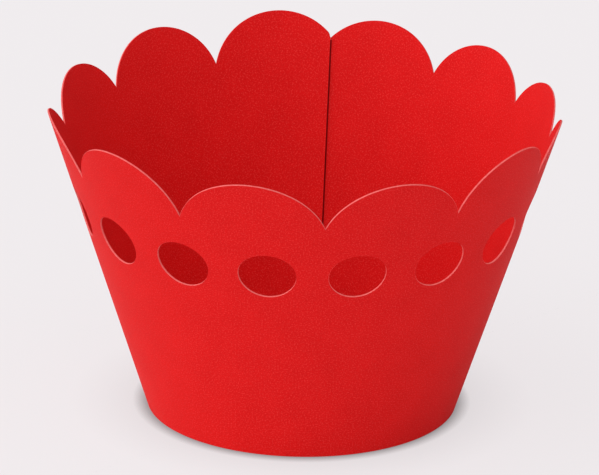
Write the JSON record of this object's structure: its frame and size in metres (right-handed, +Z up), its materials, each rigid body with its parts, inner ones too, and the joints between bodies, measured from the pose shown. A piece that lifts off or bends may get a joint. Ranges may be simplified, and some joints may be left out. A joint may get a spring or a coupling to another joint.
{
  "type": "cupcake wrapper",
  "caption": "Tapered sleeve of red card that stands round a cupcake, open at both ends, with a scalloped rim and a row of oval holes across the front.",
  "frame": {"origin": "on the table, under the centre of the sleeve's box", "axes": "+Z up the sleeve, -Y out of the front, where the row of holes is; the lap is at +Y"},
  "size_m": [0.0826, 0.0832, 0.0529],
  "materials": {
    "red_card": "matt red card, dyed through"
  },
  "bodies": {
    "root": {"card_sleeve": "red_card"}
  },
  "joints": []
}
